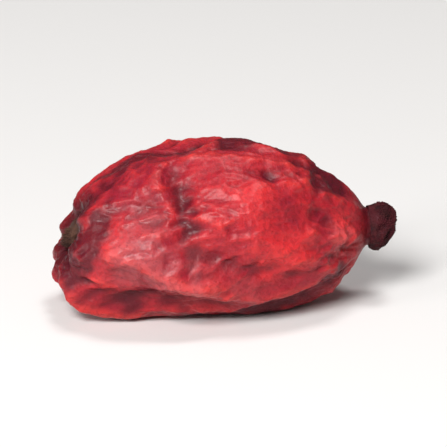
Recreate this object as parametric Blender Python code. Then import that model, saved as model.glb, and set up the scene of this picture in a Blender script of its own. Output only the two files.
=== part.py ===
"""One dried barberry, lying on its side with its beak towards +X.

The fruit is one body of skin and flesh that has dried together: blunt and sunken where the
stalk was, widest at its middle, and drawn out to a short beak that carries the dried stigma.
Lengths here are millimetres, and the meshes are made in metres. An angle round the fruit is 0
at the top and 90 at the front.
"""

import math

import bmesh
import bpy
import numpy as np

MM = 0.001

# Outline of the smooth fruit: distance along its axis and radius, from the stalk pit to the beak.
BODY_LENGTH = 7.15
BODY_RADIUS = 2.16
BEAK_RADIUS = 0.44
PIT_DEPTH = 0.50
SOCKET_RADIUS = 0.36
SOCKET_DEPTH = 0.45
OUTLINE = [
    (PIT_DEPTH, SOCKET_RADIUS),
    (0.13, 0.56),
    (0.00, 0.86),
    (0.12, 1.16),
    (0.54, 0.670 * BODY_RADIUS),
    (1.26, 0.840 * BODY_RADIUS),
    (2.20, 0.960 * BODY_RADIUS),
    (3.40, BODY_RADIUS),
    (4.50, 0.955 * BODY_RADIUS),
    (5.40, 0.845 * BODY_RADIUS),
    (6.05, 0.700 * BODY_RADIUS),
    (6.45, 0.550 * BODY_RADIUS),
    (6.75, 0.400 * BODY_RADIUS),
    (BODY_LENGTH - 0.16, 1.10 * BEAK_RADIUS),
    (BODY_LENGTH, BEAK_RADIUS),
]
PIT_POINTS = 2

# The fruit has dried a little wider than high, with its base leaning and its beak drooping.
WIDTH_SHARE = 1.05
HEIGHT_SHARE = 0.97
BEAK_DROOP = 0.16
BASE_LEAN = 0.42
LEAN_REACH = 0.42

# The side that it dried on is flattened this far below its axis, with a rounded edge.
REST_DEPTH = 1.91
REST_EDGE = 0.12

# Ridges and grooves that show one by one: a line of places (distance along, angle), how far the
# skin round it follows, and the height, which is negative for a groove.
CREASES = [
    ([(0.20, 74), (1.90, 100), (4.40, 128), (5.60, 122)], 0.30, 0.33),
    ([(0.02, 138), (0.80, 146), (2.20, 154)], 0.30, 0.40),
    ([(2.25, 14), (2.50, 52), (2.80, 92)], 0.42, -0.32),
    ([(2.80, 88), (4.70, 104)], 0.26, -0.20),
    ([(0.30, 40), (1.20, 36), (2.20, 26)], 0.34, 0.10),
    ([(4.50, 26), (4.85, 40)], 0.16, -0.16),
    ([(2.90, -15), (4.40, 2), (5.70, 30)], 0.34, 0.10),
    ([(0.10, 322), (2.60, 318), (5.40, 300)], 0.34, 0.28),
    ([(1.40, 270), (3.80, 258), (6.50, 246)], 0.30, 0.28),
    ([(0.20, 222), (2.20, 232), (4.60, 222)], 0.30, 0.24),
    ([(5.00, 72), (6.60, 84)], 0.22, 0.16),
    ([(4.40, 158), (5.50, 160), (6.30, 157)], 0.45, 0.24),
]

# Hollows where the flesh has shrunk away: place, half length, half width and depth.
HOLLOWS = [
    ((1.90, 128), 1.10, 0.50, 0.32),
    ((1.50, 52), 0.90, 0.70, 0.20),
    ((2.40, 342), 1.20, 0.65, 0.24),
    ((4.30, 280), 1.50, 0.60, 0.40),
    ((2.40, 246), 1.30, 0.45, 0.32),
    ((1.20, 292), 0.90, 0.55, 0.24),
    ((5.30, 328), 1.00, 0.50, 0.24),
    ((5.90, 66), 0.80, 0.45, 0.16),
    ((5.00, 136), 1.00, 0.40, 0.20),
    ((5.75, 14), 0.50, 0.40, 0.12),
    ((2.50, 352), 0.45, 0.40, 0.08),
]

# The net of folds, from coarse to fine: how many facets it has, how deep a facet lies below the
# folds round it, and how far a fold reaches. Facets are long ones, and each fold meanders.
NETS = [(24, 0.19, 0.30), (130, 0.085, 0.12)]
NET_STRETCH = 0.45
NET_TWIST = math.radians(5.0)
NET_PINCH = 1.5
NET_SEED = 11

# Pleats gather the skin at both ends: how many there are and how deep.
BEAK_PLEATS = (9, 0.15)
PIT_PLEATS = (8, 0.12)
FOOT_CALM = 0.65

# The stigma is a corky button on the beak, and the stalk's stub stands in the pit's socket.
STIGMA_RADIUS = 0.54
STIGMA_LENGTH = 0.54
STIGMA_CUP = 0.06
STIGMA_LOBES = (7, 0.07)
STIGMA_TILT = 0.22
STIGMA_LIFT = 0.05
STUB_RADIUS = 0.30
STUB_LENGTH = 0.84
STUB_RIBS = (9, 0.06)
JOINT_GAP = 0.03

SKIN_RINGS = 56
SKIN_SIDES = 72
SMALL_SIDES = 56


def smooth_line(points, count):
    """Evenly spaced points on the smooth curve through the given ones."""
    points = np.array(points, float)
    ends = np.vstack([2 * points[0] - points[1], points, 2 * points[-1] - points[-2]])
    t = np.linspace(0, 1, 24, endpoint=False)[:, None]
    fine = []
    for a, b, c, d in zip(ends, ends[1:], ends[2:], ends[3:]):
        bow = (2 * a - 5 * b + 4 * c - d) * t**2 + (3 * b - a - 3 * c + d) * t**3
        fine.append(0.5 * (2 * b + (c - a) * t + bow))
    fine = np.vstack(fine + [points[-1]])
    run = np.concatenate([[0], np.cumsum(np.linalg.norm(np.diff(fine, axis=0), axis=1))])
    even = np.linspace(0, run[-1], count)
    return np.stack([np.interp(even, run, fine[:, k]) for k in range(2)], axis=1)


def smooth_step(value, low, high):
    """0 below low and 1 above high, with a smooth rise between."""
    t = np.clip((value - low) / (high - low), 0, 1)
    return t * t * (3 - 2 * t)


def soft_noise(points, size, seed):
    """Smooth waves of about the given size, about -1 to 1, the same for a seed every time."""
    rng = np.random.default_rng(seed)
    total = np.zeros(points.shape[:-1])
    waves = 10
    for _ in range(waves):
        way = rng.normal(size=3)
        way /= np.linalg.norm(way)
        pitch = 2 * math.pi / size * rng.uniform(0.6, 1.4)
        total += np.sin(points @ way * pitch + rng.uniform(0, 2 * math.pi))
    return total / math.sqrt(waves)


def round_axis(x, across, up, turn):
    """Points on ellipses about the axis, at a turn from the top towards the front."""
    return np.stack([x + 0 * turn, -across * np.sin(turn), up * np.cos(turn)], axis=-1)


def on_fruit(x, radius, turn):
    """Points of the smooth fruit, which is flatter the wider it is."""
    share = radius / BODY_RADIUS
    across = radius * (1 + (WIDTH_SHARE - 1) * share)
    up = radius * (1 + (HEIGHT_SHARE - 1) * share)
    return round_axis(x, across, up, turn)


def at_place(x, angle):
    """Point on the outside of the smooth fruit, at a distance along it and an angle in degrees."""
    outside = smooth_line(OUTLINE[PIT_POINTS:], 200)
    radius = np.interp(x, outside[:, 0], outside[:, 1])
    return on_fruit(x, radius, np.radians(angle))


def crease_height(points, places, reach, height):
    """A ridge or groove with a rounded crest along a line of places, fading at its ends."""
    line = smooth_line(places, 22)
    line = at_place(line[:, 0], line[:, 1])
    rounding = 0.45 * reach
    tallest = np.zeros(points.shape[:-1])
    for k in range(len(line) - 1):
        way = line[k + 1] - line[k]
        share = np.clip((points - line[k]) @ way / (way @ way), 0, 1)
        away = np.linalg.norm(points - line[k] - share[..., None] * way, axis=-1)
        fall = (np.sqrt(away**2 + rounding**2) - rounding) / reach
        swell = np.sin(math.pi * (0.06 + 0.88 * (k + share) / (len(line) - 1)))
        tallest = np.maximum(tallest, swell * np.exp(-fall))
    return height * tallest


def hollow_height(points, place, half_length, half_width, depth):
    """A shallow bowl in the skin, longer along the fruit than across it."""
    size = np.array([half_length, half_width, half_width])
    away = (points - at_place(*place)) / size
    return -depth * np.exp(-np.sum(away**2, axis=-1))


def facet_centres(count, rng):
    """Middles of the net's facets, spread evenly over the fruit and then shaken a little."""
    golden_angle = 137.508
    order = np.arange(count)
    x = BODY_LENGTH * (order + 0.5 + rng.uniform(-0.4, 0.4, count)) / count
    return at_place(x, golden_angle * order + rng.uniform(-25, 25, count))


def net_height(points, count, depth, reach, seed):
    """Facets sunk between folds: nearly flat floors, and narrow crests where two facets meet."""
    rng = np.random.default_rng(seed)
    centres = facet_centres(count, rng)
    sway = [soft_noise(points, 6 * reach, seed + k) for k in (1, 2, 3)]
    x, y, z = np.moveaxis(points + 0.5 * reach * np.stack(sway, axis=-1), -1, 0)
    cos, sin = np.cos(NET_TWIST * x), np.sin(NET_TWIST * x)
    stretch = np.array([NET_STRETCH, 1, 1])
    spots = np.stack([x, y * cos - z * sin, y * sin + z * cos], axis=-1) * stretch
    centres = centres * stretch
    border = np.empty(points.shape[:-1])
    for row, ring in enumerate(spots):
        square = np.sum((ring[:, None, :] - centres) ** 2, axis=-1)
        nearest = np.argsort(square, axis=1)[:, :5]
        mine, others = nearest[:, :1], nearest[:, 1:]
        spread = np.linalg.norm(centres[others] - centres[mine], axis=-1)
        further = np.take_along_axis(square, others, 1) - np.take_along_axis(square, mine, 1)
        border[row] = np.min(further / (2 * spread), axis=1)
    sunk = 1 - np.exp(-((border / reach) ** NET_PINCH))
    strength = 0.68 + 0.32 * soft_noise(points, 2.6, seed + 9)
    return -depth * strength * sunk


def pleat_height(points, pleats, depth):
    """Lengthwise pleats that wander a little on their way."""
    turn = np.arctan2(-points[..., 1], points[..., 2])
    wander = soft_noise(points, 3.0, NET_SEED + 90)
    return 0.5 * depth * (np.cos(pleats * turn + wander) - 1)


def skin_height(points):
    """How far the dried skin stands above the smooth fruit, at points on that fruit."""
    height = np.zeros(points.shape[:-1])
    for places, reach, rise in CREASES:
        height += crease_height(points, places, reach, rise)
    for hollow in HOLLOWS:
        height += hollow_height(points, *hollow)
    for level, (count, depth, reach) in enumerate(NETS):
        height += net_height(points, count, depth, reach, NET_SEED + 20 * level)
    x = points[..., 0]
    slim = np.linalg.norm(points[..., 1:], axis=-1) / BODY_RADIUS
    height *= 0.3 + 0.7 * smooth_step(slim, 0.2, 0.8)
    near_beak = smooth_step(x, 0.72 * BODY_LENGTH, 0.93 * BODY_LENGTH)
    near_pit = 1 - smooth_step(x, 0.0, 0.16 * BODY_LENGTH)
    height += near_beak * pleat_height(points, *BEAK_PLEATS)
    height += near_pit * pleat_height(points, *PIT_PLEATS)
    foot = smooth_step(-points[..., 2], 0.65 * BODY_RADIUS, 0.95 * BODY_RADIUS)
    return height * (1 - FOOT_CALM * foot)


def curved(points):
    """Leans the stalk's end, so that the pit faces a little downwards, and lowers the beak."""
    x, y, z = np.moveaxis(points, -1, 0)
    lean = BASE_LEAN * (1 - smooth_step(x, 0.0, LEAN_REACH * BODY_LENGTH))
    droop = BEAK_DROOP * np.clip(2 * x / BODY_LENGTH - 1, 0, None) ** 2
    return np.stack([x + lean * z, y, z - droop], axis=-1)


def with_foot(points):
    """Flattens what would lie below the resting plane, and rounds the edge of that flat."""
    above = points[..., 2] + REST_DEPTH
    rounded = np.clip(above + REST_EDGE, 0, None) ** 2 / (4 * REST_EDGE)
    resting = points.copy()
    resting[..., 2] = np.where(above < REST_EDGE, rounded, above) - REST_DEPTH
    return resting


def skin_points(rings, sides):
    """The dried skin as rings of points, from the mouth of the socket to the end of the beak."""
    line = smooth_line(OUTLINE, rings)
    turn = np.linspace(0, 2 * math.pi, sides, endpoint=False)
    smooth = on_fruit(line[:, :1], line[:, 1:], turn)
    way = np.gradient(line, axis=0)
    way /= np.linalg.norm(way, axis=1)[:, None]
    outward = round_axis(-way[:, 1:], way[:, :1], way[:, :1], turn)
    run = np.linspace(0, 1, rings)
    fade = smooth_step(run, 0.0, 0.09) * (1 - smooth_step(run, 0.88, 0.985))
    height = skin_height(smooth) * fade[:, None]
    return with_foot(curved(smooth + outward * height[..., None]))


def turned_points(outline, sides, waves, wave_share):
    """Rings of an outline turned about the axis, with its widest part waved."""
    turn = np.linspace(0, 2 * math.pi, sides, endpoint=False)
    outline = np.array(outline, float)
    radius = outline[:, 1:]
    share = wave_share * smooth_step(radius, 0.8 * radius.max(), radius.max())
    radius = radius * (1 + share * np.cos(waves * turn + np.sin(2 * turn)))
    return curved(round_axis(outline[:, :1], radius, radius, turn))


def closed_mesh(name, rings):
    """A mesh through the rings, closed by a fan at each end."""
    mesh = bpy.data.meshes.new(name)
    work = bmesh.new()
    loops = [[work.verts.new(point * MM) for point in ring] for ring in rings]
    for near, far in zip(loops, loops[1:]):
        for k in range(len(near)):
            after = (k + 1) % len(near)
            work.faces.new((near[k], far[k], far[after], near[after]))
    for loop, ring in ((loops[0], rings[0]), (loops[-1], rings[-1])):
        middle = work.verts.new(ring.mean(axis=0) * MM)
        for k in range(len(loop)):
            work.faces.new((loop[k], loop[(k + 1) % len(loop)], middle))
    bmesh.ops.recalc_face_normals(work, faces=work.faces)
    work.to_mesh(mesh)
    work.free()
    mesh.shade_smooth()
    mesh.set_sharp_from_angle(angle=math.radians(50))
    return mesh


def material(name, colour, roughness):
    made = bpy.data.materials.new(name)
    made.use_nodes = True
    shader = made.node_tree.nodes["Principled BSDF"]
    shader.inputs["Base Color"].default_value = (*colour, 1)
    shader.inputs["Roughness"].default_value = roughness
    return made


def piece(name, rings, finish):
    mesh = closed_mesh(name, rings)
    mesh.materials.append(finish)
    made = bpy.data.objects.new(name, mesh)
    bpy.context.scene.collection.objects.link(made)
    return made


def berry():
    """Skin and flesh in one body, with the socket that the stalk has left in its pit."""
    skin = skin_points(SKIN_RINGS, SKIN_SIDES)
    socket_floor = skin[:1] + [SOCKET_DEPTH, 0, 0]
    finish = material("dried skin", (0.42, 0.012, 0.02), 0.35)
    return piece("berry", np.concatenate([socket_floor, skin]), finish)


def stigma():
    """The corky button: a cup over the beak's end, a lobed rim and a dished face with a pit."""
    start = BODY_LENGTH + JOINT_GAP
    cup = BEAK_RADIUS + JOINT_GAP
    outline = [
        (start, 0.5 * cup),
        (start, cup),
        (BODY_LENGTH - STIGMA_CUP, cup),
        (BODY_LENGTH - STIGMA_CUP, cup + 0.03),
        (start + 0.08 * STIGMA_LENGTH, 0.96 * STIGMA_RADIUS),
        (start + 0.28 * STIGMA_LENGTH, STIGMA_RADIUS),
        (start + 0.50 * STIGMA_LENGTH, 0.96 * STIGMA_RADIUS),
        (start + 0.70 * STIGMA_LENGTH, 0.86 * STIGMA_RADIUS),
        (start + 0.88 * STIGMA_LENGTH, 0.72 * STIGMA_RADIUS),
        (start + STIGMA_LENGTH, 0.55 * STIGMA_RADIUS),
        (start + 0.96 * STIGMA_LENGTH, 0.40 * STIGMA_RADIUS),
        (start + 0.86 * STIGMA_LENGTH, 0.26 * STIGMA_RADIUS),
        (start + 0.68 * STIGMA_LENGTH, 0.14 * STIGMA_RADIUS),
    ]
    rings = turned_points(outline, SMALL_SIDES, *STIGMA_LOBES)
    outer = smooth_step(rings[..., 0], start, start + 0.8 * STIGMA_LENGTH)
    rings[..., 0] += STIGMA_TILT * outer * rings[..., 2]
    rings[..., 2] += STIGMA_LIFT * outer
    return piece("stigma", rings, material("dried stigma", (0.035, 0.012, 0.010), 0.7))


def stalk_stub():
    """The end of the stalk, ribbed along its length and broken off just past the pit's rim."""
    root = PIT_DEPTH + SOCKET_DEPTH - JOINT_GAP
    outline = [
        (root, 0.75 * STUB_RADIUS),
        (root - 0.08, STUB_RADIUS),
        (root - 0.55 * STUB_LENGTH, STUB_RADIUS),
        (root - 0.85 * STUB_LENGTH, 1.06 * STUB_RADIUS),
        (root - 0.97 * STUB_LENGTH, 0.92 * STUB_RADIUS),
        (root - STUB_LENGTH, 0.55 * STUB_RADIUS),
    ]
    rings = turned_points(outline, SMALL_SIDES, *STUB_RIBS)
    return piece("stalk_stub", rings, material("dried stalk", (0.16, 0.10, 0.05), 0.8))


def rest_on_origin(pieces):
    """Moves the fruit so that it stands on z = 0 with its outer box centred on the origin."""
    points = np.array([corner.co[:] for one in pieces for corner in one.data.vertices])
    low, high = points.min(axis=0), points.max(axis=0)
    shift = -(low + high) / 2
    shift[2] = -low[2]
    for one in pieces:
        for corner in one.data.vertices:
            corner.co = corner.co[:] + shift


def main():
    for old in list(bpy.data.objects):
        bpy.data.objects.remove(old)
    rest_on_origin([berry(), stigma(), stalk_stub()])


main()
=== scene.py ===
"""The looks of one dried barberry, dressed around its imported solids.

Lengths in the shapes are millimetres, as the fruit was measured, and MM turns them into metres. The
studio's lengths are metres. An angle round the fruit is 0 at the top and 90 at the front.
"""
import math

import bpy
import numpy as np
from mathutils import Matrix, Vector


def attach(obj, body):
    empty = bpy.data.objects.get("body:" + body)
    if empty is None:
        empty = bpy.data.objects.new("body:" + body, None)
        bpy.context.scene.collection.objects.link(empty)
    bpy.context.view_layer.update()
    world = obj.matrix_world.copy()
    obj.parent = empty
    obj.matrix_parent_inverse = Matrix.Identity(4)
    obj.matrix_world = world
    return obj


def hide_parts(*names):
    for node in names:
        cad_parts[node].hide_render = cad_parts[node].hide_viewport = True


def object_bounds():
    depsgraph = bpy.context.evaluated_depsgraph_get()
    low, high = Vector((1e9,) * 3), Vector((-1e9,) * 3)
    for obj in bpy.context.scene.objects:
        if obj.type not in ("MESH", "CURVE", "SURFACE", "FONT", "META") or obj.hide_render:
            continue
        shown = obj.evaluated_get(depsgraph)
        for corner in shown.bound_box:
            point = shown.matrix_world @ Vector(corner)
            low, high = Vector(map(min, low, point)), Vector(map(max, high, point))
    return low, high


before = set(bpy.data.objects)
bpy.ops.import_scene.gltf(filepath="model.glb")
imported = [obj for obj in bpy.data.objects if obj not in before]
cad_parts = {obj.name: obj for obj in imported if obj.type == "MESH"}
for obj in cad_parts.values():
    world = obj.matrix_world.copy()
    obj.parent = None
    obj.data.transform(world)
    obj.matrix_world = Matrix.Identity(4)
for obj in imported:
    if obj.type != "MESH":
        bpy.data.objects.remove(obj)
cad_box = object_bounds()


# The studio: a pale floor under a dim sky, with a soft lamp in front of the berry's left
# shoulder, a weak one overhead and a low one at its stalk end that picks out the wrinkles.
# The camera looks down a little on the berry's side, as the photograph does.
VIEW_AZIMUTH = math.radians(-7)
VIEW_ELEVATION = math.radians(20)
VIEW_DISTANCE = 0.12
FRAME_WIDTH = 0.0104
SENSOR = 36.0
FLOOR_HALF = 0.6

low, high = (Vector(corner) for corner in cad_box)
view_centre = (low + high) / 2


def in_scene(name, data):
    """A new object of the scene, made from a mesh, a lamp or a camera."""
    made = bpy.data.objects.new(name, data)
    bpy.context.scene.collection.objects.link(made)
    return made


floor_mesh = bpy.data.meshes.new("floor")
floor_mesh.from_pydata(
    [(-FLOOR_HALF, -FLOOR_HALF, 0), (FLOOR_HALF, -FLOOR_HALF, 0),
     (FLOOR_HALF, FLOOR_HALF, 0), (-FLOOR_HALF, FLOOR_HALF, 0)],
    [], [(0, 1, 2, 3)],
)
floor = in_scene("floor", floor_mesh)
floor_paint = bpy.data.materials.new("pale_floor")
floor_paint.use_nodes = True
floor_shader = floor_paint.node_tree.nodes["Principled BSDF"]
floor_shader.inputs["Base Color"].default_value = (0.74, 0.737, 0.732, 1)
floor_shader.inputs["Roughness"].default_value = 0.9
floor_shader.inputs["Specular IOR Level"].default_value = 0.1
floor_mesh.materials.append(floor_paint)

sky = bpy.data.worlds.new("dim_sky")
sky.use_nodes = True
sky.node_tree.nodes["Background"].inputs["Color"].default_value = (1.0, 0.99, 0.98, 1)
sky.node_tree.nodes["Background"].inputs["Strength"].default_value = 0.12
bpy.context.scene.world = sky


def lamp(name, place, size, power, colour):
    """A square soft lamp at a place in metres, turned to the berry."""
    light = bpy.data.lights.new(name, "AREA")
    light.shape = "SQUARE"
    light.size = size
    light.energy = power
    light.color = colour
    made = in_scene(name, light)
    made.location = Vector(place)
    made.rotation_euler = (view_centre - made.location).to_track_quat("-Z", "Y").to_euler()


lamp("front_lamp", (-0.045, -0.09, 0.09), 0.05, 0.225, (1.0, 0.985, 0.97))
lamp("top_lamp", (0.02, 0.01, 0.12), 0.03, 0.055, (1.0, 0.98, 0.97))
lamp("end_lamp", (-0.10, -0.05, 0.035), 0.03, 0.035, (1.0, 0.98, 0.98))

camera_data = bpy.data.cameras.new("camera")
camera_data.sensor_width = SENSOR
camera_data.lens = SENSOR * VIEW_DISTANCE / FRAME_WIDTH
camera_data.clip_start = 0.001
camera = in_scene("camera", camera_data)
back = Vector((
    math.sin(VIEW_AZIMUTH) * math.cos(VIEW_ELEVATION),
    -math.cos(VIEW_AZIMUTH) * math.cos(VIEW_ELEVATION),
    math.sin(VIEW_ELEVATION),
))
camera.location = view_centre + back * VIEW_DISTANCE
camera.rotation_euler = (-back).to_track_quat("-Z", "Y").to_euler()
bpy.context.scene.camera = camera
bpy.context.scene.view_settings.view_transform = "Standard"


# The berry itself: skin and flesh that have dried into one crimson teardrop. It is blunt and
# sunken where the stalk was and drawn out to a beak, with creases, hollows and a net of folds
# where the flesh has shrunk under the skin. It lies on the flat that it dried on.
MM = 0.001
BODY_LENGTH = 7.15
BODY_RADIUS = 2.16
BEAK_RADIUS = 0.44
PIT_DEPTH = 0.50
SOCKET_RADIUS = 0.36
SOCKET_DEPTH = 0.45
OUTLINE = [
    (PIT_DEPTH, SOCKET_RADIUS),
    (0.13, 0.56),
    (0.00, 0.86),
    (0.12, 1.16),
    (0.54, 0.670 * BODY_RADIUS),
    (1.26, 0.840 * BODY_RADIUS),
    (2.20, 0.960 * BODY_RADIUS),
    (3.40, BODY_RADIUS),
    (4.50, 0.955 * BODY_RADIUS),
    (5.40, 0.845 * BODY_RADIUS),
    (6.05, 0.700 * BODY_RADIUS),
    (6.45, 0.550 * BODY_RADIUS),
    (6.75, 0.400 * BODY_RADIUS),
    (BODY_LENGTH - 0.16, 1.10 * BEAK_RADIUS),
    (BODY_LENGTH, BEAK_RADIUS),
]
PIT_POINTS = 2
WIDTH_SHARE = 1.05
HEIGHT_SHARE = 0.97
BEAK_DROOP = 0.16
BASE_LEAN = 0.42
LEAN_REACH = 0.42
REST_DEPTH = 1.91
REST_EDGE = 0.12
SKIN_RINGS = 250
SKIN_SIDES = 340

# Ridges and grooves: a line of places (distance along, angle), reach and height. Their crests are
# rounded over a share of the reach, and each swells as a half wave, cut off by a share at its ends.
CREASE_ROUNDING = 0.45
CREASE_ENDS = 0.06
CREASES = [
    ([(0.20, 74), (1.90, 100), (4.40, 128), (5.60, 122)], 0.30, 0.33),
    ([(0.02, 138), (0.80, 146), (2.20, 154)], 0.30, 0.40),
    ([(2.25, 14), (2.50, 52), (2.80, 92)], 0.42, -0.32),
    ([(2.80, 88), (4.70, 104)], 0.26, -0.20),
    ([(0.30, 40), (1.20, 36), (2.20, 26)], 0.34, 0.10),
    ([(4.50, 26), (4.85, 40)], 0.16, -0.16),
    ([(2.90, -15), (4.40, 2), (5.70, 30)], 0.34, 0.10),
    ([(0.10, 322), (2.60, 318), (5.40, 300)], 0.34, 0.28),
    ([(1.40, 270), (3.80, 258), (6.50, 246)], 0.30, 0.28),
    ([(0.20, 222), (2.20, 232), (4.60, 222)], 0.30, 0.24),
    ([(5.00, 72), (6.60, 84)], 0.22, 0.16),
    ([(4.40, 158), (5.50, 160), (6.30, 157)], 0.45, 0.24),
]

# Hollows: place, half length, half width and depth.
HOLLOWS = [
    ((1.90, 128), 1.10, 0.50, 0.32),
    ((1.50, 52), 0.90, 0.70, 0.20),
    ((2.40, 342), 1.20, 0.65, 0.24),
    ((4.30, 280), 1.50, 0.60, 0.40),
    ((2.40, 246), 1.30, 0.45, 0.32),
    ((1.20, 292), 0.90, 0.55, 0.24),
    ((5.30, 328), 1.00, 0.50, 0.24),
    ((5.90, 66), 0.80, 0.45, 0.16),
    ((5.00, 136), 1.00, 0.40, 0.20),
    ((5.75, 14), 0.50, 0.40, 0.12),
    ((2.50, 352), 0.45, 0.40, 0.08),
]

# The net of folds: how many facets, how deep they lie below their folds, and a fold's reach. The
# facets are drawn out along the fruit and twist round it. They are shaken off an even spread, by a
# share of a step along it and by degrees round it, and their depth varies from patch to patch.
NETS = [(24, 0.19, 0.30), (130, 0.085, 0.12)]
NET_STRETCH = 0.45
NET_TWIST = math.radians(5.0)
NET_PINCH = 1.5
NET_SHAKE = (0.4, 25)
NET_SWAY = 0.5
NET_MEAN_DEPTH = 0.68
NET_DEPTH_SWING = 0.32
NET_PATCH_SIZE = 2.6
NET_SEED = 11

# Pleats: how many and how deep, and the shares of the length between which they come in.
BEAK_PLEATS = (9, 0.15)
BEAK_PLEAT_REACH = (0.72, 0.93)
PIT_PLEATS = (8, 0.12)
PIT_PLEAT_REACH = 0.16
PLEAT_WANDER = 3.0
PLEAT_SEED = 101

# Where the folds are lower: on the slim ends and over the foot, between two shares of the radius,
# and at both ends of the skin, by shares of the way along it. No fine wrinkles near the table.
SLIM_FOLDS = 0.3
SLIM_REACH = (0.2, 0.8)
FOOT_CALM = 0.65
FOOT_REACH = (0.65, 0.95)
PIT_FADE = 0.09
BEAK_FADE = (0.88, 0.985)
TABLE_CALM = (0.02, 0.25)

# Colour zones: place, half length, half width and strength. The dark zones are partly a darker tone
# of the flesh and partly painted shade, in bands along the outline that the camera sees. The bright
# zones are painted highlights and painted glow.
SHADE_AND_TONE_ZONES = [
    ((2.40, 60), 0.60, 0.95, 0.58),
    ((5.90, 28), 0.90, 0.45, 0.70),
    ((3.20, 108), 0.60, 0.45, 0.30),
    ((1.50, 144), 1.40, 0.45, 0.80),
    ((0.20, 50), 0.42, 1.00, 1.00),
    ((0.20, 110), 0.42, 1.10, 1.05),
    ((0.90, 353), 0.95, 0.50, 1.30),
    ((2.60, 352), 1.20, 0.46, 1.30),
    ((4.60, 352), 1.20, 0.45, 1.30),
    ((6.30, 5), 0.70, 0.48, 1.40),
    ((4.60, 152), 1.60, 0.42, 1.30),
    ((6.30, 130), 0.50, 0.40, 1.10),
    ((2.00, 300), 1.00, 0.60, 0.65),
    ((5.20, 250), 1.00, 0.55, 0.70),
    ((3.40, 215), 1.40, 0.50, 0.60),
]
# Painted highlights and painted glow of light through the skin.
PAINTED_LIGHT_ZONES = [
    ((4.90, 92), 0.95, 0.75, 1.00),
    ((4.10, 44), 0.70, 0.55, 0.65),
    ((1.20, 74), 0.45, 0.45, 0.50),
    ((6.45, 74), 0.38, 0.40, 1.10),
    ((3.60, 315), 0.90, 0.60, 0.80),
    ((1.50, 255), 0.80, 0.50, 0.70),
    ((5.60, 200), 0.80, 0.50, 0.70),
]

# Painted pink sheen, a painted reflection and highlight on a few of the ridges and on the beak: a
# line of places, reach and strength.
PAINTED_SHEEN_LINES = [
    ([(0.30, 76), (1.90, 100), (4.40, 126)], 0.55, 0.95),
    ([(6.25, 84), (6.70, 70)], 0.30, 1.00),
    ([(1.00, 56), (2.00, 66)], 0.40, 0.55),
    ([(1.60, 262), (5.00, 246)], 0.40, 0.60),
]

# The zones are patchy, in waves of a strength, size and seed. Painted shade also gathers in the
# folds, which are measured against the mean height of so many rings and sides around. Both ends are
# dark, from a share of the length to the beak's end and over shares of the way out of the pit.
PATCHES = [(0.40, 1.1, 61), (0.25, 0.45, 62)]
FOLD_REACH = 9
FOLD_PAINTED_SHADE = 6
DARK_BEAK = 0.92
DARK_PIT = (0.04, 0.15)

# Colours of the skin, in the order in which they are laid over each other.
CRIMSON = (0.44, 0.016, 0.025, 1)
DULL_CRIMSON = (0.25, 0.009, 0.022, 1)
WINE_SPOTS = (0.20, 0.006, 0.017, 1)
# Painted highlight and painted glow.
PAINTED_GLOW = (0.60, 0.026, 0.031, 1)
# Painted shade in the facet floors, the deep hollows and the fold valleys.
PAINTED_FACET_SHADE = (0.13, 0.004, 0.013, 1)
PAINTED_HOLLOW_SHADE = (0.06, 0.002, 0.008, 1)
PAINTED_VALLEY_SHADE = (0.09, 0.003, 0.010, 1)
# Painted glow and highlights on the crests of the folds and of the fine wrinkles.
PAINTED_CREST_GLOW = (0.66, 0.046, 0.036, 1)
PAINTED_WRINKLE_HIGHLIGHT = (0.58, 0.034, 0.036, 1)
# Painted reflection: a pink sheen.
PAINTED_PINK_SHEEN = (0.50, 0.115, 0.125, 1)
# Partly a darker tone of the flesh and partly painted shade, along the outline and in the folds.
DARK_TONE_AND_PAINTED_SHADE = (0.055, 0.003, 0.009, 1)
DRY_ENDS = (0.035, 0.003, 0.006, 1)
SPECKLES = (0.10, 0.004, 0.010, 1)


def smooth_line(points, count):
    """Evenly spaced points on the smooth curve through the given ones."""
    points = np.array(points, float)
    ends = np.vstack([2 * points[0] - points[1], points, 2 * points[-1] - points[-2]])
    steps = 24
    t = np.linspace(0, 1, steps, endpoint=False)[:, None]
    fine = []
    for a, b, c, d in zip(ends, ends[1:], ends[2:], ends[3:]):
        bow = (2 * a - 5 * b + 4 * c - d) * t**2 + (3 * b - a - 3 * c + d) * t**3
        fine.append(0.5 * (2 * b + (c - a) * t + bow))
    fine = np.vstack(fine + [points[-1]])
    run = np.concatenate([[0], np.cumsum(np.linalg.norm(np.diff(fine, axis=0), axis=1))])
    even = np.linspace(0, run[-1], count)
    return np.stack([np.interp(even, run, fine[:, k]) for k in range(2)], axis=1)


def smooth_step(value, low_end, high_end):
    """0 below the low end and 1 above the high end, with a smooth rise between."""
    t = np.clip((value - low_end) / (high_end - low_end), 0, 1)
    return t * t * (3 - 2 * t)


def soft_noise(points, size, seed):
    """Smooth waves of about the given size, about -1 to 1, the same for a seed every time."""
    rng = np.random.default_rng(seed)
    total = np.zeros(points.shape[:-1])
    waves = 10
    for _ in range(waves):
        way = rng.normal(size=3)
        way /= np.linalg.norm(way)
        pitch = 2 * math.pi / size * rng.uniform(0.6, 1.4)
        total += np.sin(points @ way * pitch + rng.uniform(0, 2 * math.pi))
    return total / math.sqrt(waves)


def round_axis(x, across, up, turn):
    """Points on ellipses about the axis, at a turn from the top towards the front."""
    return np.stack([x + 0 * turn, -across * np.sin(turn), up * np.cos(turn)], axis=-1)


def on_fruit(x, radius, turn):
    """Points of the smooth fruit, which is flatter the wider it is."""
    share = radius / BODY_RADIUS
    across = radius * (1 + (WIDTH_SHARE - 1) * share)
    up = radius * (1 + (HEIGHT_SHARE - 1) * share)
    return round_axis(x, across, up, turn)


def at_place(x, angle):
    """Point on the outside of the smooth fruit, at a distance along it and an angle in degrees."""
    steps = 200
    outside = smooth_line(OUTLINE[PIT_POINTS:], steps)
    radius = np.interp(x, outside[:, 0], outside[:, 1])
    return on_fruit(x, radius, np.radians(angle))


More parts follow.
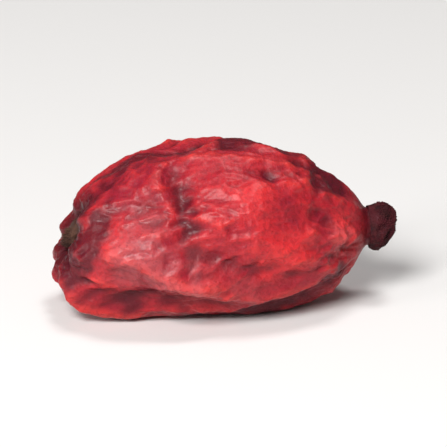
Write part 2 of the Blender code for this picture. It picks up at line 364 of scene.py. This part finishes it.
def crease_height(points, places, reach, height):
    """A ridge or groove with a rounded crest along a line of places, fading at its ends."""
    steps = 22
    line = smooth_line(places, steps)
    line = at_place(line[:, 0], line[:, 1])
    rounding = CREASE_ROUNDING * reach
    tallest = np.zeros(points.shape[:-1])
    for k in range(steps - 1):
        way = line[k + 1] - line[k]
        share = np.clip((points - line[k]) @ way / (way @ way), 0, 1)
        away = np.linalg.norm(points - line[k] - share[..., None] * way, axis=-1)
        fall = (np.sqrt(away**2 + rounding**2) - rounding) / reach
        wave = CREASE_ENDS + (1 - 2 * CREASE_ENDS) * (k + share) / (steps - 1)
        tallest = np.maximum(tallest, np.sin(math.pi * wave) * np.exp(-fall))
    return height * tallest


def hollow_height(points, place, half_length, half_width, depth):
    """A shallow bowl in the skin, longer along the fruit than across it."""
    size = np.array([half_length, half_width, half_width])
    away = (points - at_place(*place)) / size
    return -depth * np.exp(-np.sum(away**2, axis=-1))


def facet_centres(count, rng):
    """Middles of the net's facets, spread evenly over the fruit and then shaken a little."""
    golden_angle = 137.508
    order = np.arange(count)
    shake_along, shake_round = NET_SHAKE
    x = BODY_LENGTH * (order + 0.5 + rng.uniform(-shake_along, shake_along, count)) / count
    return at_place(x, golden_angle * order + rng.uniform(-shake_round, shake_round, count))


def net_height(points, count, depth, reach, seed):
    """Facets sunk between folds: nearly flat floors, and narrow crests where two facets meet."""
    rng = np.random.default_rng(seed)
    centres = facet_centres(count, rng)
    sway_size = 6 * reach
    sway = [soft_noise(points, sway_size, seed + k) for k in (1, 2, 3)]
    x, y, z = np.moveaxis(points + NET_SWAY * reach * np.stack(sway, axis=-1), -1, 0)
    cos, sin = np.cos(NET_TWIST * x), np.sin(NET_TWIST * x)
    stretch = np.array([NET_STRETCH, 1, 1])
    spots = np.stack([x, y * cos - z * sin, y * sin + z * cos], axis=-1) * stretch
    centres = centres * stretch
    border = np.empty(points.shape[:-1])
    candidates = 5
    for row, ring in enumerate(spots):
        square = np.sum((ring[:, None, :] - centres) ** 2, axis=-1)
        nearest = np.argsort(square, axis=1)[:, :candidates]
        mine, others = nearest[:, :1], nearest[:, 1:]
        spread = np.linalg.norm(centres[others] - centres[mine], axis=-1)
        further = np.take_along_axis(square, others, 1) - np.take_along_axis(square, mine, 1)
        border[row] = np.min(further / (2 * spread), axis=1)
    sunk = 1 - np.exp(-((border / reach) ** NET_PINCH))
    strength = NET_MEAN_DEPTH + NET_DEPTH_SWING * soft_noise(points, NET_PATCH_SIZE, seed + 9)
    return -depth * strength * sunk


def pleat_height(points, pleats, depth):
    """Lengthwise pleats that wander a little on their way."""
    turn = np.arctan2(-points[..., 1], points[..., 2])
    wander = soft_noise(points, PLEAT_WANDER, PLEAT_SEED)
    return 0.5 * depth * (np.cos(pleats * turn + wander) - 1)


def curved(points):
    """Leans the stalk's end, so that the pit faces a little downwards, and lowers the beak."""
    x, y, z = np.moveaxis(points, -1, 0)
    lean = BASE_LEAN * (1 - smooth_step(x, 0.0, LEAN_REACH * BODY_LENGTH))
    droop = BEAK_DROOP * np.clip(2 * x / BODY_LENGTH - 1, 0, None) ** 2
    return np.stack([x + lean * z, y, z - droop], axis=-1)


def with_foot(points):
    """Flattens what would lie below the resting plane, and rounds the edge of that flat."""
    above = points[..., 2] + REST_DEPTH
    rounded = np.clip(above + REST_EDGE, 0, None) ** 2 / (4 * REST_EDGE)
    resting = points.copy()
    resting[..., 2] = np.where(above < REST_EDGE, rounded, above) - REST_DEPTH
    return resting


def beak_end():
    """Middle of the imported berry's flat beak end, in millimetres, with the table at height 0."""
    corners = np.array([v.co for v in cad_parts["berry"].data.vertices]) / MM
    tolerance = 0.01
    ring = corners[corners[:, 0] > corners[:, 0].max() - tolerance]
    return np.array([ring[:, 0].max(), (ring[:, 1].min() + ring[:, 1].max()) / 2, 0])


PLACE = beak_end() - [BODY_LENGTH, 0, -REST_DEPTH]


def ring_mesh(name, rings):
    """A mesh in metres through rings of points, closed by a fan at each end."""
    count, sides = rings.shape[:2]
    corners = rings.reshape(-1, 3)
    caps = [rings[0].mean(axis=0), rings[-1].mean(axis=0)]
    order = np.arange(count * sides).reshape(count, sides)
    after = np.roll(order, -1, axis=1)
    walls = np.stack([order[:-1], after[:-1], after[1:], order[1:]], axis=-1).reshape(-1, 4)
    first, last = count * sides, count * sides + 1
    start = [(first, int(b), int(a)) for a, b in zip(order[0], after[0])]
    end = [(last, int(a), int(b)) for a, b in zip(order[-1], after[-1])]
    mesh = bpy.data.meshes.new(name)
    points = (np.vstack([corners, caps]) + PLACE) * MM
    mesh.from_pydata(points.tolist(), [], walls.tolist() + start + end)
    mesh.shade_smooth()
    mesh.set_sharp_from_angle(angle=math.radians(55))
    return mesh


def store(mesh, name, values):
    """Keeps one value a corner as an attribute. A fan's middle gets the mean of its ring."""
    padded = np.concatenate([values.ravel(), [values[0].mean(), values[-1].mean()]])
    made = mesh.attributes.new(name, "FLOAT", "POINT")
    made.data.foreach_set("value", padded.astype(np.float32))


def averaged(values, reach):
    """Each value's mean over its neighbours up to this many rings and sides away."""
    spread = range(-reach, reach + 1)
    rows = np.arange(len(values))
    around = sum(np.roll(values, k, axis=1) for k in spread)
    return sum(around[np.clip(rows + k, 0, rows[-1])] for k in spread) / len(spread) ** 2


outline = smooth_line(OUTLINE, SKIN_RINGS)
turn = np.linspace(0, 2 * math.pi, SKIN_SIDES, endpoint=False)
smooth_fruit = on_fruit(outline[:, :1], outline[:, 1:], turn)
heading = np.gradient(outline, axis=0)
heading /= np.linalg.norm(heading, axis=1)[:, None]
outward = round_axis(-heading[:, 1:], heading[:, :1], heading[:, :1], turn)

broad = sum(crease_height(smooth_fruit, *crease) for crease in CREASES)
broad += sum(hollow_height(smooth_fruit, *hollow) for hollow in HOLLOWS)
coarse_net, fine_net = (
    net_height(smooth_fruit, count, depth, reach, NET_SEED + 20 * level)
    for level, (count, depth, reach) in enumerate(NETS)
)
along = smooth_fruit[..., 0] / BODY_LENGTH
slim = np.linalg.norm(smooth_fruit[..., 1:], axis=-1) / BODY_RADIUS
height = broad + coarse_net + fine_net
height *= SLIM_FOLDS + (1 - SLIM_FOLDS) * smooth_step(slim, *SLIM_REACH)
near_beak = smooth_step(along, *BEAK_PLEAT_REACH)
near_pit = 1 - smooth_step(along, 0, PIT_PLEAT_REACH)
height += near_beak * pleat_height(smooth_fruit, *BEAK_PLEATS)
height += near_pit * pleat_height(smooth_fruit, *PIT_PLEATS)
foot = smooth_step(-smooth_fruit[..., 2] / BODY_RADIUS, *FOOT_REACH)
height *= 1 - FOOT_CALM * foot
run = np.linspace(0, 1, SKIN_RINGS)[:, None]
fade = smooth_step(run, 0, PIT_FADE) * (1 - smooth_step(run, *BEAK_FADE))
height *= fade
skin = with_foot(curved(smooth_fruit + outward * height[..., None]))
socket_floor = skin[:1] + [SOCKET_DEPTH, 0, 0]
fruit_mesh = ring_mesh("fruit", np.concatenate([socket_floor, skin]))

calm = smooth_step(skin[..., 2] + REST_DEPTH, *TABLE_CALM) * fade
ends = np.maximum(smooth_step(along, DARK_BEAK, 1), 1 - smooth_step(run + 0 * along, *DARK_PIT))
fold = height - averaged(height, FOLD_REACH)
patchy = 1 + sum(share * soft_noise(smooth_fruit, size, seed) for share, size, seed in PATCHES)
# Painted shade along the outline that the camera sees and in the folds, partly a darker tone of the
# flesh.
tone_and_painted_shade = sum(-hollow_height(smooth_fruit, *zone) for zone in SHADE_AND_TONE_ZONES) * patchy
tone_and_painted_shade -= FOLD_PAINTED_SHADE * fold
# Painted highlights and painted glow, in patches.
painted_light = sum(-hollow_height(smooth_fruit, *zone) for zone in PAINTED_LIGHT_ZONES) * (2 - patchy)
# Painted pink sheen, a painted reflection, in patches.
painted_sheen = sum(crease_height(smooth_fruit, *line) for line in PAINTED_SHEEN_LINES) * patchy
for label, values in (
    ("tone_and_painted_shade", tone_and_painted_shade),
    ("painted_light", painted_light),
    ("painted_sheen", painted_sheen),
    ("depth", height),
    ("fold", fold),
    ("crest", (fine_net + coarse_net) * fade),
    ("calm", calm),
    ("ends", ends),
):
    store(fruit_mesh, label, np.concatenate([values[:1], values]))
fruit = in_scene("fruit", fruit_mesh)


def feed(tree, socket, value):
    """Sets an input to a plain value, or links it to the output given for it."""
    if isinstance(value, bpy.types.NodeSocket):
        tree.links.new(value, socket)
    else:
        socket.default_value = value


def node(tree, kind, inputs=(), **settings):
    """A node of a tree, with its properties set, and its inputs fed by their names or numbers."""
    made = tree.nodes.new(kind)
    for key, value in settings.items():
        setattr(made, key, value)
    for key, value in dict(inputs).items():
        feed(tree, made.inputs[key], value)
    return made


def new_tree(name, numbers, whole_numbers=()):
    """A geometry tree with named inputs: the tree, what it is given and its result."""
    tree = bpy.data.node_groups.new(name, "GeometryNodeTree")
    kinds = [("Geometry", "Geometry")]
    kinds += [(label, "Float") for label in numbers]
    kinds += [(label, "Int") for label in whole_numbers]
    kinds += [("Finish", "Material")]
    for label, kind in kinds:
        tree.interface.new_socket(label, in_out="INPUT", socket_type="NodeSocket" + kind)
    tree.interface.new_socket("Geometry", in_out="OUTPUT", socket_type="NodeSocketGeometry")
    return tree, node(tree, "NodeGroupInput").outputs, node(tree, "NodeGroupOutput").inputs


def close_tree(tree, given, result, geometry):
    """Ends a tree: its instances become real, and its mesh gets the finish."""
    real = node(tree, "GeometryNodeRealizeInstances", {0: geometry})
    finish = node(tree, "GeometryNodeSetMaterial",
                  {"Geometry": real.outputs[0], "Material": given["Finish"]})
    feed(tree, result[0], finish.outputs[0])


def wrinkle_tree():
    """Fine long wrinkles over a skin: narrow crests of two sizes, calm where 'calm' is 0.

    The floors between them sink by a share of the depth, so that the skin grows no thicker.
    """
    tree, given, result = new_tree(
        "fine_wrinkles", ("Facet width", "Depth", "Small depth", "Stretch", "Seed"))
    crest_reach = 0.28
    crest_sharpness = 1.6
    sunk_share = 0.45

    def maths(operation, a, b):
        return node(tree, "ShaderNodeMath", {0: a, 1: b}, operation=operation).outputs[0]

    def vectors(operation, a, b):
        return node(tree, "ShaderNodeVectorMath", {0: a, 1: b}, operation=operation).outputs[0]

    def scaled(a, share):
        made = node(tree, "ShaderNodeVectorMath", {0: a, "Scale": share}, operation="SCALE")
        return made.outputs[0]

    place = node(tree, "GeometryNodeInputPosition").outputs[0]
    squeeze = node(tree, "ShaderNodeCombineXYZ", {0: given["Stretch"], 1: 1.0, 2: 1.0})
    drawn = vectors("MULTIPLY", place, squeeze.outputs[0])

    def crests(width, offset):
        """1 on the border between two facets of this width, and 0 inside them."""
        grid = scaled(drawn, maths("DIVIDE", 1.0, width))
        seed = maths("ADD", given["Seed"], offset)
        sway = node(tree, "ShaderNodeTexNoise",
                    {"Vector": grid, "W": seed, "Scale": 0.6, "Detail": 1.0},
                    noise_dimensions="4D")
        centred = vectors("SUBTRACT", sway.outputs["Color"], (0.5, 0.5, 0.5))
        swayed = vectors("ADD", grid, scaled(centred, 1.1))
        cells = node(tree, "ShaderNodeTexVoronoi", {"Vector": swayed, "W": seed, "Scale": 1.0},
                     feature="DISTANCE_TO_EDGE", voronoi_dimensions="4D")
        nearness = node(tree, "ShaderNodeMapRange",
                        {"Value": cells.outputs["Distance"], "From Max": crest_reach,
                         "To Min": 1.0, "To Max": 0.0})
        return maths("POWER", nearness.outputs[0], crest_sharpness)

    patches = node(tree, "ShaderNodeTexNoise",
                   {"Vector": place, "W": given["Seed"], "Scale": 700.0, "Detail": 1.0},
                   noise_dimensions="4D")
    strong = node(tree, "ShaderNodeMapRange",
                  {"Value": patches.outputs["Fac"], "From Min": 0.35, "From Max": 0.65,
                   "To Min": 0.25})
    wide = maths("MULTIPLY", crests(given["Facet width"], 0.0), strong.outputs[0])
    small = crests(maths("MULTIPLY", given["Facet width"], 0.5), 7.0)
    rise = maths("ADD", maths("MULTIPLY", wide, given["Depth"]),
                 maths("MULTIPLY", small, given["Small depth"]))
    full_depth = maths("ADD", given["Depth"], given["Small depth"])
    rise = maths("SUBTRACT", rise, maths("MULTIPLY", full_depth, sunk_share))
    calm = node(tree, "GeometryNodeInputNamedAttribute", {"Name": "calm"}, data_type="FLOAT")
    rise = maths("MULTIPLY", rise, calm.outputs["Attribute"])

    keep = node(tree, "GeometryNodeStoreNamedAttribute",
                {"Geometry": given["Geometry"], "Name": "wrinkle", "Value": wide},
                data_type="FLOAT", domain="POINT")
    normal = node(tree, "GeometryNodeInputNormal").outputs[0]
    push = node(tree, "GeometryNodeSetPosition",
                {"Geometry": keep.outputs[0], "Offset": scaled(normal, rise)})
    close_tree(tree, given, result, push.outputs[0])
    return tree


def grown(piece, tree, values):
    """Runs a geometry tree on a piece with the given inputs, and keeps the result as a mesh."""
    modifier = piece.modifiers.new(tree.name, "NODES")
    modifier.node_group = tree
    for item in tree.interface.items_tree:
        if item.in_out == "INPUT" and item.name in values:
            modifier[item.identifier] = values[item.name]
    bpy.context.view_layer.update()
    graph = bpy.context.evaluated_depsgraph_get()
    mesh = bpy.data.meshes.new_from_object(
        piece.evaluated_get(graph), preserve_all_data_layers=True, depsgraph=graph)
    piece.modifiers.clear()
    piece.data = mesh


def mottle_group():
    """Blotches and fine grain over a dried plant surface: two masks from 0 to 1."""
    tree = bpy.data.node_groups.new("mottle", "ShaderNodeTree")
    for label in ("Blotch size", "Grain size"):
        tree.interface.new_socket(label, in_out="INPUT", socket_type="NodeSocketFloat")
    for label in ("Blotches", "Grain"):
        tree.interface.new_socket(label, in_out="OUTPUT", socket_type="NodeSocketFloat")
    given = node(tree, "NodeGroupInput").outputs
    result = node(tree, "NodeGroupOutput").inputs
    place = node(tree, "ShaderNodeTexCoord").outputs["Object"]
    for label, size, detail in (("Blotches", "Blotch size", 4.0), ("Grain", "Grain size", 2.0)):
        pitch = node(tree, "ShaderNodeMath", {0: 1.0, 1: given[size]}, operation="DIVIDE")
        noise = node(tree, "ShaderNodeTexNoise",
                     {"Vector": place, "Scale": pitch.outputs[0], "Detail": detail})
        spread = node(tree, "ShaderNodeMapRange",
                      {"Value": noise.outputs["Fac"], "From Min": 0.36, "From Max": 0.64},
                      interpolation_type="SMOOTHSTEP")
        feed(tree, result[label], spread.outputs[0])
    return tree


mottle = mottle_group()


class Finish:
    """A material under construction, with short calls for the nodes that feed its shader."""

    def __init__(self, name):
        self.material = bpy.data.materials.new(name)
        self.material.use_nodes = True
        self.tree = self.material.node_tree
        self.shader = self.tree.nodes["Principled BSDF"]

    def attribute(self, name):
        return node(self.tree, "ShaderNodeAttribute", attribute_name=name).outputs["Fac"]

    def mottled(self, blotch_size, grain_size):
        sizes = {"Blotch size": blotch_size, "Grain size": grain_size}
        return node(self.tree, "ShaderNodeGroup", sizes, node_tree=mottle).outputs

    def ranged(self, value, from_min, from_max, to_min=0.0, to_max=1.0):
        limits = {"From Min": from_min, "From Max": from_max, "To Min": to_min, "To Max": to_max}
        made = node(self.tree, "ShaderNodeMapRange", {"Value": value, **limits},
                    interpolation_type="SMOOTHSTEP")
        return made.outputs[0]

    def mixed(self, share, a, b):
        inputs = {"Factor": share, "A": a, "B": b}
        return node(self.tree, "ShaderNodeMix", inputs, data_type="RGBA").outputs["Result"]

    def tinted(self, colour, mask, strength, tint):
        """The colour with a tint over it, which is as strong as given where the mask is 1."""
        share = node(self.tree, "ShaderNodeMath", {0: mask, 1: strength}, operation="MULTIPLY")
        return self.mixed(share.outputs[0], colour, tint)

    def bumped(self, height_value, depth, normal=None):
        inputs = {"Height": height_value, "Distance": depth}
        if normal:
            inputs["Normal"] = normal
        return node(self.tree, "ShaderNodeBump", inputs).outputs["Normal"]

    def set(self, **values):
        for label, value in values.items():
            feed(self.tree, self.shader.inputs[label.replace("_", " ")], value)


def skin_finish():
    """Crimson skin, waxy and lit from within, with painted shade in its folds and hollows, painted
    orange-red glow and highlights on its crests, and a painted pink sheen.
    """
    made = Finish("dried_skin")
    ranged, attribute = made.ranged, made.attribute
    blotches, grain = made.mottled(1.2 * MM, 0.11 * MM)
    spots, pores = made.mottled(0.32 * MM, 0.035 * MM)
    colour = made.mixed(blotches, CRIMSON, DULL_CRIMSON)
    for mask, strength, tint in (
        (spots, 0.30, WINE_SPOTS),
        # Painted highlights and painted glow.
        (ranged(attribute("painted_light"), 0.10, 0.95), 0.75, PAINTED_GLOW),
        # Painted shade in the facet floors, the hollows and the valleys of the folds.
        (ranged(attribute("crest"), -0.34, -0.06, 1.0, 0.0), 0.35, PAINTED_FACET_SHADE),
        (ranged(attribute("depth"), -0.62, -0.22, 1.0, 0.0), 0.65, PAINTED_HOLLOW_SHADE),
        (ranged(attribute("fold"), -0.075, -0.005, 1.0, 0.0), 0.60, PAINTED_VALLEY_SHADE),
        # Painted glow and highlights on the fold crests and fine wrinkle crests.
        (ranged(attribute("fold"), 0.004, 0.085), 0.55, PAINTED_CREST_GLOW),
        (attribute("wrinkle"), 0.38, PAINTED_WRINKLE_HIGHLIGHT),
        # Painted pink sheen, a painted reflection.
        (ranged(attribute("painted_sheen"), 0.15, 0.95), 0.42, PAINTED_PINK_SHEEN),
        # Painted shade along the outline and in the folds, partly a darker tone of the flesh.
        (ranged(attribute("tone_and_painted_shade"), 0.08, 0.95), 0.82, DARK_TONE_AND_PAINTED_SHADE),
        (attribute("ends"), 0.92, DRY_ENDS),
        (ranged(grain, 0.55, 1.0), 0.26, SPECKLES),
    ):
        colour = made.tinted(colour, mask, strength, tint)
    made.set(
        Base_Color=colour,
        Roughness=ranged(grain, 0.0, 1.0, 0.40, 0.56),
        Specular_IOR_Level=0.15,
        Subsurface_Weight=0.30,
        Subsurface_Radius=(1.0, 0.14, 0.09),
        Subsurface_Scale=0.4 * MM,
        Coat_Weight=0.24,
        Coat_Roughness=0.34,
        Normal=made.bumped(pores, 0.003 * MM, made.bumped(grain, 0.008 * MM)),
    )
    return made.material


grown(fruit, wrinkle_tree(), {
    "Facet width": 0.44 * MM,
    "Depth": 0.062 * MM,
    "Small depth": 0.018 * MM,
    "Stretch": 0.5,
    "Seed": 3.0,
    "Finish": skin_finish(),
})
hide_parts("berry")
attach(fruit, "root")


# The stigma: the flower's corky button, left on the beak's end. It is nearly black, with a lobed
# rim, a dished face with a pit, and small warts all over, and it cups the end of the beak.
JOINT_GAP = 0.03
STIGMA_RADIUS = 0.54
STIGMA_LENGTH = 0.54
STIGMA_CUP = 0.06
CUP_RIM = 0.02
STIGMA_TILT = 0.22
STIGMA_LIFT = 0.05
STIGMA_RINGS = 60
STIGMA_SIDES = 112

# The profile, from the beak to the pit, in shares of the length and radius. Lobes round the rim:
# how many, and how far they stand out. Dents fade in over a few rings past the cup. Warts vary
# in size, and start at a share of the length.
STIGMA_PROFILE = [
    (0.08, 0.96), (0.28, 1.00), (0.50, 0.96), (0.70, 0.86), (0.88, 0.72),
    (1.00, 0.55), (0.96, 0.40), (0.86, 0.26), (0.68, 0.14),
]
STIGMA_LOBES = (7, 0.07)
DENT_SIZE = 0.28
DENT_DEPTH = 0.020
DENT_SEED = 40
DENT_FADE_RINGS = 8
WART_SIZES = (0.55, 1.25)
WARTS_FROM = 0.2
BLACK_CORK = (0.018, 0.002, 0.004, 1)
MAROON_CORK = (0.058, 0.005, 0.010, 1)
WORN_CORK = (0.095, 0.026, 0.023, 1)


def turned_points(profile, sides, waves, wave_share):
    """Rings of a profile turned about the axis, with its widest part waved."""
    turns = np.linspace(0, 2 * math.pi, sides, endpoint=False)
    profile = np.array(profile, float)
    radius = profile[:, 1:]
    widest = radius.max()
    share = wave_share * smooth_step(radius, 0.8 * widest, widest)
    radius = radius * (1 + share * np.cos(waves * turns + np.sin(2 * turns)))
    return curved(round_axis(profile[:, :1], radius, radius, turns))


button_start = BODY_LENGTH + JOINT_GAP
cup_radius = BEAK_RADIUS + JOINT_GAP
cup_profile = [
    (button_start, 0.5 * cup_radius),
    (button_start, cup_radius),
    (BODY_LENGTH - STIGMA_CUP, cup_radius),
]
button_points = [(BODY_LENGTH - STIGMA_CUP, cup_radius + CUP_RIM)]
button_points += [
    (button_start + length_share * STIGMA_LENGTH, radius_share * STIGMA_RADIUS)
    for length_share, radius_share in STIGMA_PROFILE
]
button_profile = smooth_line(button_points, STIGMA_RINGS)
button = turned_points(np.vstack([cup_profile, button_profile]), STIGMA_SIDES, *STIGMA_LOBES)
outer = smooth_step(button[..., 0], button_start, button_start + 0.8 * STIGMA_LENGTH)
button[..., 0] += STIGMA_TILT * outer * button[..., 2]
button[..., 2] += STIGMA_LIFT * outer
dents = np.stack([soft_noise(button, DENT_SIZE, DENT_SEED + k) for k in range(3)], axis=-1)
rings_past_cup = np.arange(len(button)) - len(cup_profile)
clear_of_cup = smooth_step(rings_past_cup, 0, DENT_FADE_RINGS)
button += DENT_DEPTH * clear_of_cup[:, None, None] * dents
stigma = in_scene("stigma_button", ring_mesh("stigma_button", button))


def scattered(tree, given, side, limit, shape, sizes, rotation=None):
    """A mesh with copies of a shape strewn over it, on one side of a limit along the fruit."""
    dense = 4e9
    position = node(tree, "GeometryNodeInputPosition").outputs[0]
    along_fruit = node(tree, "ShaderNodeSeparateXYZ", {0: position}).outputs["X"]
    past = node(tree, "FunctionNodeCompare", {0: along_fruit, 1: limit},
                data_type="FLOAT", operation=side)
    spots = node(tree, "GeometryNodeDistributePointsOnFaces",
                 {"Mesh": given["Geometry"], "Selection": past.outputs[0],
                  "Distance Min": given["Spacing"], "Density Max": dense,
                  "Seed": given["Seed"]},
                 distribute_method="POISSON")
    size = node(tree, "FunctionNodeRandomValue",
                {2: sizes[0], 3: sizes[1], "Seed": given["Seed"]}, data_type="FLOAT")
    placed = node(tree, "GeometryNodeInstanceOnPoints",
                  {"Points": spots.outputs["Points"], "Instance": shape,
                   "Scale": size.outputs[1]})
    if rotation:
        feed(tree, placed.inputs["Rotation"], rotation)
    joined = node(tree, "GeometryNodeJoinGeometry", {0: given["Geometry"]})
    feed(tree, joined.inputs[0], placed.outputs[0])
    return joined.outputs[0]


def wart_tree():
    """Small round warts scattered over a surface, half sunk into it."""
    tree, given, result = new_tree("warts", ("Spacing", "Radius", "From"), ("Seed",))
    wart = node(tree, "GeometryNodeMeshIcoSphere",
                {"Radius": given["Radius"], "Subdivisions": 2})
    smooth = node(tree, "GeometryNodeSetShadeSmooth", {0: wart.outputs[0]})
    warty = scattered(
        tree, given, "GREATER_THAN", given["From"], smooth.outputs[0], WART_SIZES)
    close_tree(tree, given, result, warty)
    return tree


def stigma_finish():
    """Black cork with a maroon cast, browner where it is worn."""
    made = Finish("dried_stigma")
    blotches, grain = made.mottled(0.30 * MM, 0.06 * MM)
    colour = made.mixed(blotches, BLACK_CORK, MAROON_CORK)
    made.set(
        Base_Color=made.tinted(colour, grain, 0.25, WORN_CORK),
        Roughness=made.ranged(grain, 0.0, 1.0, 0.60, 0.80),
        Specular_IOR_Level=0.15,
        Normal=made.bumped(grain, 0.012 * MM),
    )
    return made.material


grown(stigma, wart_tree(), {
    "Spacing": 0.048 * MM,
    "Radius": 0.024 * MM,
    "From": (button_start + WARTS_FROM * STIGMA_LENGTH + PLACE[0]) * MM,
    "Seed": 5,
    "Finish": stigma_finish(),
})
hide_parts("stigma")
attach(stigma, "root")


# The stalk's stub: the last millimetre of a thin woody stalk, standing in the socket of the pit.
# It is ribbed along its length and snapped off, with its fibres left standing at the break.
STUB_RADIUS = 0.30
STUB_LENGTH = 0.84
STUB_ROOT_EDGE = 0.08
STUB_RINGS = 48
STUB_SIDES = 108

# Ribs: how many, and how far they stand out. A fibre leans and turns at random by up to so many
# radians, varies in size, and grows only past a share of the stub's length.
STUB_RIBS = (9, 0.06)
FIBRE_SIDES = 6
FIBRE_TIP = 0.004
FIBRE_LEAN = 0.35
FIBRE_TURN = 6.28
FIBRE_SIZES = (0.5, 1.2)
FIBRES_FROM = 0.985
BROWN_WOOD = (0.060, 0.021, 0.012, 1)
DARK_WOOD = (0.028, 0.008, 0.006, 1)
DRY_FIBRES = (0.105, 0.046, 0.027, 1)

stub_root = PIT_DEPTH + SOCKET_DEPTH - JOINT_GAP
stub_profile = smooth_line([
    (stub_root, 0.75 * STUB_RADIUS),
    (stub_root - STUB_ROOT_EDGE, STUB_RADIUS),
    (stub_root - 0.55 * STUB_LENGTH, STUB_RADIUS),
    (stub_root - 0.85 * STUB_LENGTH, 1.06 * STUB_RADIUS),
    (stub_root - 0.97 * STUB_LENGTH, 0.92 * STUB_RADIUS),
    (stub_root - STUB_LENGTH, 0.55 * STUB_RADIUS),
], STUB_RINGS)
stub_points = turned_points(stub_profile, STUB_SIDES, *STUB_RIBS)[::-1]
stub = in_scene("stalk_end", ring_mesh("stalk_end", stub_points))


def fibre_tree():
    """Short pointed fibres standing on the broken end of a stalk."""
    tree, given, result = new_tree("fibres", ("Spacing", "Radius", "Length", "Before"), ("Seed",))
    fibre = node(tree, "GeometryNodeMeshCone",
                 {"Vertices": FIBRE_SIDES, "Radius Top": FIBRE_TIP * MM,
                  "Radius Bottom": given["Radius"], "Depth": given["Length"]})
    tilt = node(tree, "FunctionNodeRandomValue",
                {0: (-FIBRE_LEAN, -FIBRE_LEAN, 0.0), 1: (FIBRE_LEAN, FIBRE_LEAN, FIBRE_TURN),
                 "Seed": given["Seed"]},
                data_type="FLOAT_VECTOR")
    tilted = node(tree, "FunctionNodeEulerToRotation", {0: tilt.outputs[0]})
    outwards = node(tree, "FunctionNodeAlignRotationToVector", {"Vector": (-1, 0, 0)}, axis="Z")
    rotation = node(tree, "FunctionNodeRotateRotation",
                    {0: outwards.outputs[0], 1: tilted.outputs[0]}, rotation_space="LOCAL")
    frayed = scattered(tree, given, "LESS_THAN", given["Before"], fibre.outputs[0], FIBRE_SIZES,
                       rotation.outputs[0])
    close_tree(tree, given, result, frayed)
    return tree


def stalk_finish():
    """Dull brown wood, darker in blotches, with paler dry fibres in its grain."""
    made = Finish("dried_stalk")
    blotches, grain = made.mottled(0.35 * MM, 0.05 * MM)
    colour = made.mixed(blotches, BROWN_WOOD, DARK_WOOD)
    made.set(
        Base_Color=made.tinted(colour, grain, 0.35, DRY_FIBRES),
        Roughness=made.ranged(grain, 0.0, 1.0, 0.65, 0.85),
        Specular_IOR_Level=0.30,
        Normal=made.bumped(grain, 0.010 * MM),
    )
    return made.material


grown(stub, fibre_tree(), {
    "Spacing": 0.045 * MM,
    "Radius": 0.022 * MM,
    "Length": 0.11 * MM,
    "Before": (stub_root - FIBRES_FROM * STUB_LENGTH + PLACE[0]) * MM,
    "Seed": 2,
    "Finish": stalk_finish(),
})
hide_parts("stalk_stub")
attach(stub, "root")
